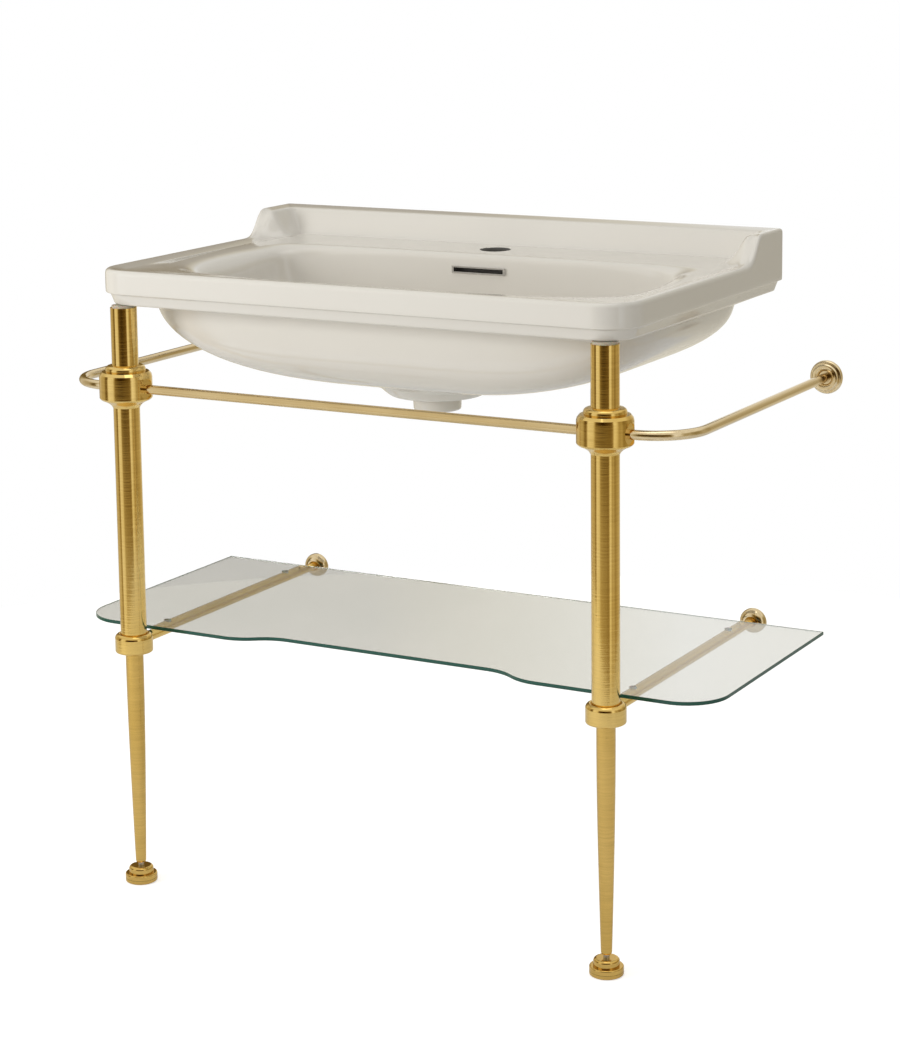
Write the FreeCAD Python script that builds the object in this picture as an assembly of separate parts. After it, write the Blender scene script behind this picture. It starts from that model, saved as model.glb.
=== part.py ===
import FreeCAD, Part
import math
import os

from FreeCAD import Vector

# Console sink with legs, in millimetres.
# +X is the viewer's right, +Z is up and the wall is the plane Y = WALL_Y.
# The origin is on the floor, under the middle of the whole object.

# ---------------------------------------------------------------- driving dimensions

BASIN_WIDTH = 800.0
BASIN_DEPTH = 500.0
WALL_Y = 258.0              # face of the wall, and back of the basin
BASIN_FRONT_Y = WALL_Y - BASIN_DEPTH
RIM_Z = 865.0               # top of the rim above the floor
UPSTAND_Z = 904.0           # top of the back upstand and its returns

LEG_X = 361.0               # leg axes are at X = -361 and +361
LEG_Y = WALL_Y - 480.0
TUBE_R = 18.0
TUBE_WALL = 1.5

RAIL_Z = 702.5              # axis of the towel rail
RAIL_SIDE_X = 466.0         # axis of its side runs
RAIL_R = 6.35
RAIL_WALL = 1.2

SHELF_ARM_Z = 345.0         # axis of the shelf arms
ARM_R = 7.5
GLASS_WIDTH = 970.0
GLASS_THICKNESS = 5.0

FIT_GAP = 0.05              # radial gap between a tube or spigot and its socket
THREAD_GAP = 0.08           # radial gap between a stud and its threaded hole

# ceramic basin: two-tier apron
TIER_Z = 832.0              # groove between the fascia and the lower tier
APRON_Z = 816.0             # underside of the apron
TIER_INSET = 6.0            # the lower tier starts this far behind the fascia
APRON_INSET = 11.0          # and leans in to here at its bottom edge
CORNER_R = 50.0             # front corners of the basin in plan
RIM_ROUND_R = 6.0

# upstand and side returns
UPSTAND_TOP = 25.0          # thickness at the top
UPSTAND_FOOT = 48.0         # thickness at the deck
RETURN_TOP = 22.0
RETURN_FOOT = 52.0
RETURN_TOP_Y = WALL_Y - 76.0
RETURN_TIP_Y = WALL_Y - 134.0

# bowl, inside
LIP_R = 8.0                 # rolled edge at the front and back of the bowl
SIDE_LIP = 56.0             # width of the softer edge at its sides
SIDE_DROP = 28.0            # and the height of that edge
BOWL_HALF_WIDTH = 316.0
BOWL_FRONT_Y = -172.0
BOWL_BACK_Y = 123.0
BOWL_EDGE_FRONT_Z = 857.0   # the dished top has come down to this at the bowl's front edge
BOWL_EDGE_BACK_Z = 863.0    # and to this at its back edge
BOWL_FLOOR_Z = 709.0
MOUTH_STEP = 0.3            # depth of the fine step round the lip
DISH_INSET = 16.0           # width of the level rim

# bowl, outside
SHELL_HALF_WIDTH = 383.0
SHELL_FRONT_Y = -185.0
SHELL_BACK_Y = 214.0
SHELL_FLOOR_Z = 700.0

# holes and ducts of the basin
TAP_Y = 174.0
TAP_HOLE_R = 17.5
TAP_LIP_R = 7.0
OUTLET_R = 23.0
BOSS_R = 33.0
BOSS_Z = 664.5
PAD_R = 64.0                # the wide foot round the boss, at its lower face
PAD_TOP_R = 86.0            # and where it runs out into the shell
PAD_Z = 685.0
OVERFLOW_Z = 840.0
OVERFLOW_WIDTH = 80.0
OVERFLOW_HEIGHT = 8.0
TAP_BAY_HALF_WIDTH = 250.0
TAP_BAY_FRONT_Y = 146.0
TAP_BAY_FLOOR_Z = 762.0
TAP_BAY_TOP_Z = 843.0
WALL_BOLT_X = 330.0
WALL_BOLT_Z = 838.0
WALL_BOLT_HOLE_R = 7.0
WALL_PLATE = 18.0           # ceramic between a bolt pocket and the wall

# ---------------------------------------------------------------- helpers

UP = Vector(0, 0, 1)
TO_WALL = Vector(0, 1, 0)
SIDES = (("left", -1), ("right", 1))


def save(node, shape):
    """Write one named piece as its own STEP file."""
    shape.exportStep("parts/" + node + ".step")


def box(x0, x1, y0, y1, z0, z1):
    return Part.makeBox(x1 - x0, y1 - y0, z1 - z0, Vector(x0, y0, z0))


def rod(radius, start, axis, length):
    return Part.makeCylinder(radius, length, start, axis)


def tube(outer, inner, start, axis, length):
    return rod(outer, start, axis, length).cut(rod(inner, start, axis, length))


def outline(start, steps):
    """A closed wire in the (radius, height) plane.

    Each step is an end point, or a pair of points: the middle and the end of an arc.
    """
    edges = []
    here = Vector(start[0], 0, start[1])
    for step in steps + [start]:
        if isinstance(step[0], tuple):
            middle = Vector(step[0][0], 0, step[0][1])
            there = Vector(step[1][0], 0, step[1][1])
            edges.append(Part.Arc(here, middle, there).toShape())
        else:
            there = Vector(step[0], 0, step[1])
            edges.append(Part.makeLine(here, there))
        here = there
    return Part.Wire(edges)


def turned(start, steps, base):
    """A solid turned about the vertical axis through base."""
    face = Part.Face(outline(start, steps))
    solid = face.revolve(Vector(0, 0, 0), UP, 360)
    solid.translate(base)
    return solid


def turned_on_wall(start, steps, x, z):
    """A solid turned about a horizontal axis; its heights count outwards from the wall."""
    solid = turned(start, steps, Vector(0, 0, 0))
    solid.rotate(Vector(0, 0, 0), Vector(1, 0, 0), 90)
    solid.translate(Vector(x, WALL_Y, z))
    return solid


def oval(half_width, front, back, z_front, z_back, front_power, back_power, side_dip=0):
    """A closed superellipse, with squarer corners the higher its power, on a tilted plane.

    Its sides hang side_dip below that plane.
    """
    middle = (front + back) / 2
    half_depth = (back - front) / 2
    count = 48
    points = []
    for i in range(count):
        angle = 2 * math.pi * (i / count - 0.25)
        across = math.cos(angle)
        along = math.sin(angle)
        power = back_power if along > 0 else front_power
        reach = (abs(across) ** power + abs(along) ** power) ** (-1 / power)
        share = 0.5 + 0.5 * reach * along
        points.append(Vector(half_width * reach * across, middle + half_depth * reach * along,
                             z_front + share * (z_back - z_front) - side_dip * across ** 4))
    curve = Part.BSplineCurve()
    curve.interpolate(Points=points, PeriodicFlag=True)
    return Part.Wire(curve.toShape())


def loft(wires, ruled=False):
    return Part.makeLoft(wires, True, ruled, False, 3)


# ---------------------------------------------------------------- ceramic basin

def basin_plan(inset, z):
    """The basin's outline in plan: square at the wall, round at the front corners."""
    half = BASIN_WIDTH / 2 - inset
    front = BASIN_FRONT_Y + inset
    radius = CORNER_R - inset
    diagonal = radius * (1 - math.sqrt(0.5))
    right_wall = Vector(half, WALL_Y, z)
    right_side = Vector(half, front + radius, z)
    right_front = Vector(half - radius, front, z)
    left_front = Vector(-half + radius, front, z)
    left_side = Vector(-half, front + radius, z)
    left_wall = Vector(-half, WALL_Y, z)
    right_corner = Vector(half - diagonal, front + diagonal, z)
    left_corner = Vector(-half + diagonal, front + diagonal, z)
    return Part.Wire([
        Part.makeLine(right_wall, right_side),
        Part.Arc(right_side, right_corner, right_front).toShape(),
        Part.makeLine(right_front, left_front),
        Part.Arc(left_front, left_corner, left_side).toShape(),
        Part.makeLine(left_side, left_wall),
        Part.makeLine(left_wall, right_wall),
    ])


def apron():
    """The slab of the deck: an upright fascia above a lower tier that leans in."""
    fascia = Part.Face(basin_plan(0, TIER_Z)).extrude(Vector(0, 0, RIM_Z - TIER_Z))
    rim_edges = [
        edge for edge in fascia.Edges
        if edge.BoundBox.ZMin > RIM_Z - 0.1 and edge.CenterOfMass.y < WALL_Y - 1
    ]
    fascia = fascia.makeFillet(RIM_ROUND_R, rim_edges)
    lower_tier = loft([basin_plan(APRON_INSET, APRON_Z), basin_plan(TIER_INSET, TIER_Z)], True)
    return fascia.fuse(lower_tier)


def raised_edge(top, foot, length):
    """A bar with the upstand's section along +Y: its back is at X = 0 and its face towards +X.

    It is top wide above and foot wide at the deck, where a cove ends its face.
    """
    profile = outline((0, RIM_Z - 12), [
        (0, UPSTAND_Z),
        (top - 2, UPSTAND_Z - 3),
        ((top + 1.4, UPSTAND_Z - 5), (top + 3, UPSTAND_Z - 8)),
        (foot - 7.5, RIM_Z + 8),
        ((foot - 3.5, RIM_Z + 2), (foot + 3, RIM_Z - 3)),
        (foot + 3, RIM_Z - 12),
    ])
    return Part.Face(profile).extrude(Vector(0, length, 0))


def upstand():
    """The raised back edge along the whole width."""
    bar = raised_edge(UPSTAND_TOP, UPSTAND_FOOT, BASIN_WIDTH)
    bar.rotate(Vector(0, 0, 0), UP, -90)
    bar.translate(Vector(-BASIN_WIDTH / 2, WALL_Y, 0))
    return bar


def side_return(side):
    """The end of the upstand that sweeps forward and down into the side rim."""
    front = RETURN_TIP_Y - 10
    bar = raised_edge(RETURN_TOP, RETURN_FOOT, WALL_Y - front)
    if side > 0:
        bar = bar.mirror(Vector(0, 0, 0), Vector(1, 0, 0))
    bar.translate(Vector(side * BASIN_WIDTH / 2, front, 0))
    sweep = outline((WALL_Y, TIER_Z), [
        (WALL_Y, UPSTAND_Z),
        (RETURN_TOP_Y, UPSTAND_Z),
        ((RETURN_TOP_Y - 7, UPSTAND_Z - 3), (RETURN_TOP_Y - 11, UPSTAND_Z - 9)),
        (RETURN_TOP_Y - 23, UPSTAND_Z - 25),
        ((RETURN_TOP_Y - 35, RIM_Z + 3.5), (RETURN_TIP_Y, RIM_Z)),
        (front, RIM_Z - 2),
        (front, TIER_Z),
    ])
    sweep.rotate(Vector(0, 0, 0), UP, 90)
    sweep.translate(Vector(-BASIN_WIDTH / 2, 0, 0))
    return bar.common(Part.Face(sweep).extrude(Vector(BASIN_WIDTH, 0, 0)))


def bowl_shell():
    """The outside of the bowl, below the apron: round across, boxy from front to back."""
    height = APRON_Z - SHELL_FLOOR_Z
    middle = (SHELL_FRONT_Y + SHELL_BACK_Y) / 2
    half_depth = (SHELL_BACK_Y - SHELL_FRONT_Y) / 2
    sections = [oval(SHELL_HALF_WIDTH, SHELL_FRONT_Y, SHELL_BACK_Y, TIER_Z, TIER_Z, 5.5, 5.5)]
    for angle in (8, 24, 40, 55, 68, 80):
        fall = math.sin(math.radians(angle)) ** 0.95
        width = SHELL_HALF_WIDTH * math.cos(math.radians(angle)) ** 1.04
        reach = half_depth * (1 - fall ** 4.7) ** 0.43
        z = APRON_Z - fall * height
        sections.append(oval(width, middle - reach, middle + reach, z, z, 5.5, 5.5))
    return loft(sections)


def dished_top():
    """What is taken off the deck so that it falls from the rim to the bowl.

    It reaches in under the upstand, and so meets it in a clean edge.
    """
    half = BASIN_WIDTH / 2 - DISH_INSET
    above = RIM_Z + 60
    rim_front = BASIN_FRONT_Y + DISH_INSET
    rim_back = WALL_Y - UPSTAND_FOOT + 12
    edge = oval(BOWL_HALF_WIDTH + SIDE_LIP, BOWL_FRONT_Y - LIP_R, BOWL_BACK_Y + LIP_R,
                BOWL_EDGE_FRONT_Z - MOUTH_STEP / 2, BOWL_EDGE_BACK_Z - MOUTH_STEP / 2, 4.2, 8)
    rim = oval(half, rim_front, rim_back, RIM_Z, RIM_Z, 9, 16)
    top = oval(half, rim_front, rim_back, above, above, 9, 16)
    return loft([edge, rim], True).fuse(loft([rim, top], True))


def bowl_mouth():
    """A step of a hair's depth where the deck ends and the bowl's rolled lip begins."""
    sections = []
    for rise in (-MOUTH_STEP, 20):
        sections.append(oval(BOWL_HALF_WIDTH + SIDE_LIP + 1, BOWL_FRONT_Y - LIP_R - 0.4,
                             BOWL_BACK_Y + LIP_R + 0.4, BOWL_EDGE_FRONT_Z + rise,
                             BOWL_EDGE_BACK_Z + rise, 4.2, 8))
    return loft(sections, True)


def bowl_hollow():
    """The inside of the bowl: a rolled lip, then walls that run out into the floor."""
    middle = (BOWL_FRONT_Y + BOWL_BACK_Y) / 2
    half_depth = (BOWL_BACK_Y - BOWL_FRONT_Y) / 2
    sections = []
    for angle in (0, 30, 60):
        out = 1 - math.sin(math.radians(angle))
        drop = 1 - math.cos(math.radians(angle))
        sections.append(oval(BOWL_HALF_WIDTH + SIDE_LIP * out, BOWL_FRONT_Y - LIP_R * out,
                             BOWL_BACK_Y + LIP_R * out, BOWL_EDGE_FRONT_Z - LIP_R * drop,
                             BOWL_EDGE_BACK_Z - LIP_R * drop, 4.2, 8, (SIDE_DROP - LIP_R) * drop))
    top_front = BOWL_EDGE_FRONT_Z - LIP_R
    top_back = BOWL_EDGE_BACK_Z - LIP_R
    for angle, side_dip in ((8, 6.4), (24, 4.2), (40, 2.5), (55, 1.2), (68, 0.5), (80, 0)):
        fall = math.sin(math.radians(angle)) ** 0.83
        width = BOWL_HALF_WIDTH * math.cos(math.radians(angle)) ** 0.96
        reach = half_depth * (1 - fall ** 4.7) ** 0.43
        centre = middle * (1 - fall ** 2)
        squareness = 8 - 3 * fall
        sections.append(oval(width, centre - reach, centre + reach,
                             top_front - fall * (top_front - BOWL_FLOOR_Z),
                             top_back - fall * (top_back - BOWL_FLOOR_Z),
                             4.2, squareness, side_dip))
    return loft(sections)


def tap_hole():
    """A straight hole with a soft lip, through the deck behind the bowl."""
    slope = (RIM_Z - BOWL_EDGE_BACK_Z) / (WALL_Y - UPSTAND_FOOT - BOWL_BACK_Y - LIP_R)
    deck_z = BOWL_EDGE_BACK_Z + slope * (TAP_Y - BOWL_BACK_Y - LIP_R)
    turn_z = deck_z - TAP_LIP_R
    shoulder = TAP_LIP_R * (1 - math.sqrt(0.5))
    return turned((0, TAP_BAY_TOP_Z - 30), [
        (TAP_HOLE_R, TAP_BAY_TOP_Z - 30),
        (TAP_HOLE_R, turn_z),
        ((TAP_HOLE_R + shoulder, deck_z - shoulder), (TAP_HOLE_R + TAP_LIP_R, deck_z)),
        (TAP_HOLE_R + TAP_LIP_R, deck_z + 8),
        (0, deck_z + 8),
    ], Vector(0, TAP_Y, 0))


def overflow_duct():
    """The hidden way from the overflow slot down behind the bowl to the outlet."""
    half = OVERFLOW_WIDTH / 2
    slot = box(-half, half, BOWL_BACK_Y - 12, BOWL_BACK_Y + 18,
               OVERFLOW_Z - OVERFLOW_HEIGHT / 2, OVERFLOW_Z + OVERFLOW_HEIGHT / 2)
    drop = box(-14, 14, BOWL_BACK_Y + 9, BOWL_BACK_Y + 18, PAD_Z + 5, OVERFLOW_Z)
    run = box(-14, 14, 0, BOWL_BACK_Y + 18, PAD_Z + 5, PAD_Z + 12)
    return slot.fuse([drop, run])


def overflow_housing():
    """The rib of ceramic that carries the duct, behind and under the bowl."""
    back = box(-OVERFLOW_WIDTH / 2 - 8, OVERFLOW_WIDTH / 2 + 8, BOWL_BACK_Y + 12,
               BOWL_BACK_Y + 26, PAD_Z + 20, RIM_Z - 15)
    drop = box(-24, 24, BOWL_BACK_Y + 2, BOWL_BACK_Y + 26, PAD_Z, RIM_Z - 40)
    under = box(-24, 24, 20, BOWL_BACK_Y + 26, PAD_Z, PAD_Z + 22)
    return back.fuse([drop, under])


def basin():
    tap_bay = box(-TAP_BAY_HALF_WIDTH, TAP_BAY_HALF_WIDTH, TAP_BAY_FRONT_Y, WALL_Y + 1,
                  TAP_BAY_FLOOR_Z, TAP_BAY_TOP_Z)
    outlet_pad = turned((0, PAD_Z), [
        (PAD_R, PAD_Z),
        (PAD_TOP_R, SHELL_FLOOR_Z + 4),
        (0, SHELL_FLOOR_Z + 4),
    ], Vector(0, 0, 0))
    outlet_boss = rod(BOSS_R, Vector(0, 0, BOSS_Z), UP, BOWL_FLOOR_Z - BOSS_Z - 4)
    body = apron().fuse(bowl_shell()).cut(tap_bay)
    body = body.fuse([overflow_housing(), outlet_pad, outlet_boss])
    body = body.cut(dished_top())
    body = body.cut(bowl_mouth())
    body = body.cut(bowl_hollow())
    body = body.fuse([upstand(), side_return(-1), side_return(1)])
    body = body.cut(tap_hole())
    body = body.cut(overflow_duct())
    body = body.cut(rod(OUTLET_R, Vector(0, 0, BOSS_Z - 1), UP, 60))
    for side in (-1, 1):
        x = side * WALL_BOLT_X
        pocket_back = WALL_Y - WALL_PLATE
        body = body.cut(box(x - 30, x + 30, pocket_back - 34, pocket_back, 700, WALL_BOLT_Z + 16))
        body = body.cut(rod(WALL_BOLT_HOLE_R, Vector(x, pocket_back - 2, WALL_BOLT_Z),
                            TO_WALL, WALL_PLATE + 4))
    return body.removeSplitter()


def overflow_trim():
    """A slim chrome frame whose sleeve pushes into the overflow slot."""
    half = OVERFLOW_WIDTH / 2 - FIT_GAP
    tall = OVERFLOW_HEIGHT / 2 - FIT_GAP
    front = BOWL_BACK_Y - 1.5
    plate = box(-half - 2, half + 2, front - 1.5, front, OVERFLOW_Z - tall - 1, OVERFLOW_Z + tall + 1)
    sleeve = box(-half, half, front - 1.5, front + 9, OVERFLOW_Z - tall, OVERFLOW_Z + tall)
    passage = box(-half + 1, half - 1, front - 5, front + 12,
                  OVERFLOW_Z - tall + 1, OVERFLOW_Z + tall - 1)
    return plate.fuse(sleeve).cut(passage)


# ---------------------------------------------------------------- legs

PAD_THICKNESS = 3.0
INSERT_FLANGE = 2.0
TUBE_TOP_Z = APRON_Z - PAD_THICKNESS - INSERT_FLANGE

DRUM_R = 36.0
DRUM_CORE = 12.0            # solid height above and below the rail axis
SPOT_R = 14.0               # flat spot-face where the rail enters
SPOT_DEPTH = 2.7
GRUB_R = 2.5
GRUB_OUT = 24.0             # grub screws stand this far from the leg's axis

COLLAR_R = 26.0
COLLAR_BOTTOM_Z = SHELF_ARM_Z - 13
COLLAR_TOP_Z = SHELF_ARM_Z + 13
COLLAR_FLOOR_Z = SHELF_ARM_Z + 5
SPIGOT_R = 8.0
ARM_STUD_R = 4.0

LEG_TOP_R = 12.25
LEG_FOOT_R = 7.25
LEG_FOOT_Z = 28.0
FOOT_STUD_R = 4.0
STUD_TOP_Z = 62.0


def leg_pad(x):
    return rod(TUBE_R - 2, Vector(x, LEG_Y, APRON_Z - PAD_THICKNESS), UP, PAD_THICKNESS)


def leg_insert(x):
    """A plug in the top of the tube, with a flange the size of the tube."""
    plug_length = 22
    flange = rod(TUBE_R, Vector(x, LEG_Y, TUBE_TOP_Z), UP, INSERT_FLANGE)
    plug = rod(TUBE_R - TUBE_WALL - FIT_GAP, Vector(x, LEG_Y, TUBE_TOP_Z - plug_length),
               UP, plug_length)
    return flange.fuse(plug)


def leg_tube(x, bottom, top):
    return tube(TUBE_R, TUBE_R - TUBE_WALL, Vector(x, LEG_Y, bottom), UP, top - bottom)


def rail_drum(x):
    """The turned drum: a bead and shoulder above, a wide band, and a quarter round below."""
    solid = turned((0, -26.7), [
        (18.6, -26.7),
        ((20.3, -23.9), (25, -20)),
        (30, -17),
        ((33.8, -15.6), (DRUM_R, -13)),
        (DRUM_R, 15),
        (35, 19),
        (32, 22.7),
        (27, 23.4),
        ((26.8, 28), (23.2, 31)),
        (19, 32),
        (0, 32),
    ], Vector(x, LEG_Y, RAIL_Z))
    socket_r = TUBE_R + FIT_GAP
    solid = solid.cut(rod(socket_r, Vector(x, LEG_Y, RAIL_Z + DRUM_CORE), UP, 40))
    solid = solid.cut(rod(socket_r, Vector(x, LEG_Y, RAIL_Z - DRUM_CORE), -UP, 40))
    bore = rod(RAIL_R + FIT_GAP, Vector(x - 50, LEG_Y, RAIL_Z), Vector(1, 0, 0), 100)
    solid = solid.cut(bore)
    for side in (-1, 1):
        spot = Vector(x + side * (DRUM_R - SPOT_DEPTH), LEG_Y, RAIL_Z)
        solid = solid.cut(rod(SPOT_R, spot, Vector(side, 0, 0), 20))
        grub = Vector(x + side * GRUB_OUT, LEG_Y, RAIL_Z - 30)
        solid = solid.cut(rod(GRUB_R + FIT_GAP, grub, UP, 30))
    return solid


def shelf_collar(x):
    """The turned collar where the arm, the tube and the tapered leg meet."""
    low = COLLAR_BOTTOM_Z
    top = COLLAR_TOP_Z
    solid = turned((0, low - 3), [
        (15, low - 3),
        (16.5, low - 1.5),
        (16.5, low),
        (23.5, low),
        ((25.3, low + 0.7), (COLLAR_R, low + 2.5)),
        (COLLAR_R, top - 7),
        ((24.4, top - 1.9), (21.5, top)),
        ((19.8, top - 0.3), (19.2, top - 2.5)),
        (0, top - 2.5),
    ], Vector(x, LEG_Y, 0))
    solid = solid.cut(rod(TUBE_R + FIT_GAP, Vector(x, LEG_Y, COLLAR_FLOOR_Z), UP, 40))
    solid = solid.cut(rod(SPIGOT_R + THREAD_GAP, Vector(x, LEG_Y, low - 4), UP, 13))
    solid = solid.cut(rod(ARM_R + FIT_GAP, Vector(x, LEG_Y + TUBE_R + 1, SHELF_ARM_Z), TO_WALL, 20))
    solid = solid.cut(rod(ARM_STUD_R + THREAD_GAP, Vector(x, LEG_Y + 2, SHELF_ARM_Z), TO_WALL, 20))
    return solid


def tapered_leg(x):
    """The lower leg: nearly parallel at the top, then tapering to its foot."""
    top = COLLAR_BOTTOM_Z - 3
    bend_z = LEG_FOOT_Z + 0.6 * (top - LEG_FOOT_Z)
    spline = Part.BSplineCurve()
    spline.interpolate([
        Vector(LEG_FOOT_R, 0, LEG_FOOT_Z + 2),
        Vector(LEG_FOOT_R + 0.45 * (LEG_TOP_R - LEG_FOOT_R), 0, LEG_FOOT_Z + 0.3 * (top - LEG_FOOT_Z)),
        Vector(LEG_TOP_R - 0.9, 0, bend_z),
        Vector(LEG_TOP_R, 0, top),
    ])
    edges = [
        Part.makeLine(Vector(0, 0, LEG_FOOT_Z), Vector(LEG_FOOT_R - 1, 0, LEG_FOOT_Z)),
        Part.makeLine(Vector(LEG_FOOT_R - 1, 0, LEG_FOOT_Z), Vector(LEG_FOOT_R, 0, LEG_FOOT_Z + 2)),
        spline.toShape(),
        Part.makeLine(Vector(LEG_TOP_R, 0, top), Vector(SPIGOT_R, 0, top)),
        Part.makeLine(Vector(SPIGOT_R, 0, top), Vector(SPIGOT_R, 0, top + 11)),
        Part.makeLine(Vector(SPIGOT_R, 0, top + 11), Vector(0, 0, top + 11)),
        Part.makeLine(Vector(0, 0, top + 11), Vector(0, 0, LEG_FOOT_Z)),
    ]
    solid = Part.Face(Part.Wire(edges)).revolve(Vector(0, 0, 0), UP, 360)
    solid.translate(Vector(x, LEG_Y, 0))
    hole_r = FOOT_STUD_R + THREAD_GAP
    return solid.cut(rod(hole_r, Vector(x, LEG_Y, LEG_FOOT_Z - 1), UP, STUD_TOP_Z - LEG_FOOT_Z + 8))


# ---------------------------------------------------------------- levelling feet

FOOT_R = 22.2
FOOT_SPLIT_Z = 6.5
FOOT_DISC_Z = 13.0
FOOT_COLLAR_R = 17.0
FOOT_TOP_Z = 23.0
FOOT_PAD_R = 19.0
FOOT_PAD_THICKNESS = 1.5
SWIVEL_R = 5.0
SWIVEL_GAP = 0.35


def foot_pad(x):
    return rod(FOOT_PAD_R, Vector(x, LEG_Y, 0), UP, FOOT_PAD_THICKNESS)


def foot_base(x):
    """The lower disc: it stays still on the floor while the disc above it turns."""
    solid = turned((0, 0.8), [
        (FOOT_R - 2.2, 0.8),
        ((FOOT_R - 0.6, 1.4), (FOOT_R, 3)),
        (FOOT_R, FOOT_SPLIT_Z - SWIVEL_GAP),
        (0, FOOT_SPLIT_Z - SWIVEL_GAP),
    ], Vector(x, LEG_Y, 0))
    recess = rod(FOOT_PAD_R, Vector(x, LEG_Y, 0), UP, FOOT_PAD_THICKNESS)
    seat = rod(SWIVEL_R + SWIVEL_GAP, Vector(x, LEG_Y, FOOT_PAD_THICKNESS + 1), UP, 10)
    return solid.cut(recess).cut(seat)


def foot_disc(x):
    """The upper disc and its collar, gripped to screw the foot up or down."""
    solid = turned((0, FOOT_SPLIT_Z), [
        (FOOT_R, FOOT_SPLIT_Z),
        (FOOT_R, FOOT_DISC_Z - 1.5),
        ((FOOT_R - 0.5, FOOT_DISC_Z - 0.5), (FOOT_R - 1.5, FOOT_DISC_Z)),
        (FOOT_COLLAR_R, FOOT_DISC_Z),
        (FOOT_COLLAR_R, FOOT_TOP_Z - 4),
        ((FOOT_COLLAR_R - 1.2, FOOT_TOP_Z - 1.2), (FOOT_COLLAR_R - 4, FOOT_TOP_Z)),
        (0, FOOT_TOP_Z),
    ], Vector(x, LEG_Y, 0))
    return solid.cut(rod(FOOT_STUD_R, Vector(x, LEG_Y, 0), UP, 40))


def foot_stud(x):
    """The stud, with a swivel head that sits in the base."""
    head_z = FOOT_PAD_THICKNESS + 1 + SWIVEL_GAP
    head = rod(SWIVEL_R, Vector(x, LEG_Y, head_z), UP, FOOT_SPLIT_Z - head_z)
    stud = rod(FOOT_STUD_R, Vector(x, LEG_Y, head_z), UP, STUD_TOP_Z - head_z)
    return head.fuse(stud)


# ---------------------------------------------------------------- towel rail

RAIL_BEND_R = 68.0
SOCKET_PLATE = 4.0
SPIGOT_LENGTH = 24.0
RAIL_FLANGE_R = 23.0
SHELF_FLANGE_R = 19.5


def front_rail():
    """The straight run between the drums; each end stops at the leg's axis."""
    half = LEG_X - 0.5
    return tube(RAIL_R, RAIL_R - RAIL_WALL, Vector(-half, LEG_Y, RAIL_Z),
                Vector(1, 0, 0), 2 * half)


def side_rail(side):
    """From the drum outwards, round the front corner, and back to the wall."""
    start = Vector(side * (LEG_X + 0.5), LEG_Y, RAIL_Z)
    bend_start = Vector(side * (RAIL_SIDE_X - RAIL_BEND_R), LEG_Y, RAIL_Z)
    reach = RAIL_BEND_R * math.sqrt(0.5)
    bend_middle = Vector(side * (RAIL_SIDE_X - RAIL_BEND_R + reach),
                         LEG_Y + RAIL_BEND_R - reach, RAIL_Z)
    bend_end = Vector(side * RAIL_SIDE_X, LEG_Y + RAIL_BEND_R, RAIL_Z)
    end = Vector(side * RAIL_SIDE_X, WALL_Y - SOCKET_PLATE, RAIL_Z)
    path = Part.Wire([
        Part.makeLine(start, bend_start),
        Part.Arc(bend_start, bend_middle, bend_end).toShape(),
        Part.makeLine(bend_end, end),
    ])
    solids = []
    for radius in (RAIL_R, RAIL_R - RAIL_WALL):
        circle = Part.Wire(Part.makeCircle(radius, start, Vector(side, 0, 0)))
        solids.append(path.makePipeShell([circle], True, True))
    return solids[0].cut(solids[1])


def rail_flange(side):
    """A stepped rosette with a dished face, through which the rail passes."""
    return turned_on_wall((17, 0), [
        (RAIL_FLANGE_R, 0),
        (RAIL_FLANGE_R, 3),
        ((22.3, 4.6), (20.5, 5.5)),
        (19.2, 5.5),
        (19.2, 7.5),
        ((18.2, 9.6), (16, 10.5)),
        (13.5, 10.5),
        ((10.5, 9.2), (9, 7)),
        (RAIL_R + FIT_GAP, 7),
        (RAIL_R + FIT_GAP, SOCKET_PLATE + 0.5),
        (17, SOCKET_PLATE + 0.5),
    ], side * RAIL_SIDE_X, RAIL_Z)


def wall_socket(x, z, plate_r, spigot_r):
    """A plate screwed to the wall, with a spigot inside the end of the rail or arm."""
    centre = Vector(x, WALL_Y, z)
    solid = rod(plate_r, centre, -TO_WALL, SOCKET_PLATE)
    solid = solid.fuse(rod(spigot_r, centre, -TO_WALL, SPIGOT_LENGTH))
    for up in (-1, 1):
        hole = rod(1.8, Vector(x, WALL_Y + 1, z + up * 0.72 * plate_r), -TO_WALL, 10)
        solid = solid.cut(hole)
    return solid


# ---------------------------------------------------------------- glass shelf

BUMPER_THICKNESS = 1.0
GLASS_Z = SHELF_ARM_Z + ARM_R + BUMPER_THICKNESS
GLASS_BACK_Y = WALL_Y - 52.0
GLASS_FRONT_Y = LEG_Y + 40.0
GLASS_MIDDLE_FRONT_Y = LEG_Y + 68.0
GLASS_CORNER_R = 60.0
SWEEP_INNER_X = 155.0       # the front edge is set back between these
SWEEP_OUTER_X = 240.0


def shelf_arm(side):
    """A solid arm, tapped for a stud at the collar and bored for the wall spigot."""
    front = LEG_Y + TUBE_R + 1
    back = WALL_Y - SOCKET_PLATE
    arm = rod(ARM_R, Vector(side * LEG_X, front, SHELF_ARM_Z), TO_WALL, back - front)
    tapped = rod(ARM_STUD_R + THREAD_GAP, Vector(side * LEG_X, front - 1, SHELF_ARM_Z), TO_WALL, 22)
    bored = rod(6, Vector(side * LEG_X, back + 1, SHELF_ARM_Z), -TO_WALL, SPIGOT_LENGTH)
    return arm.cut(tapped).cut(bored)


def arm_stud(side):
    """The stud that draws the arm tight into the collar."""
    return rod(ARM_STUD_R, Vector(side * LEG_X, LEG_Y + 3, SHELF_ARM_Z), TO_WALL, 34)


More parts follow.
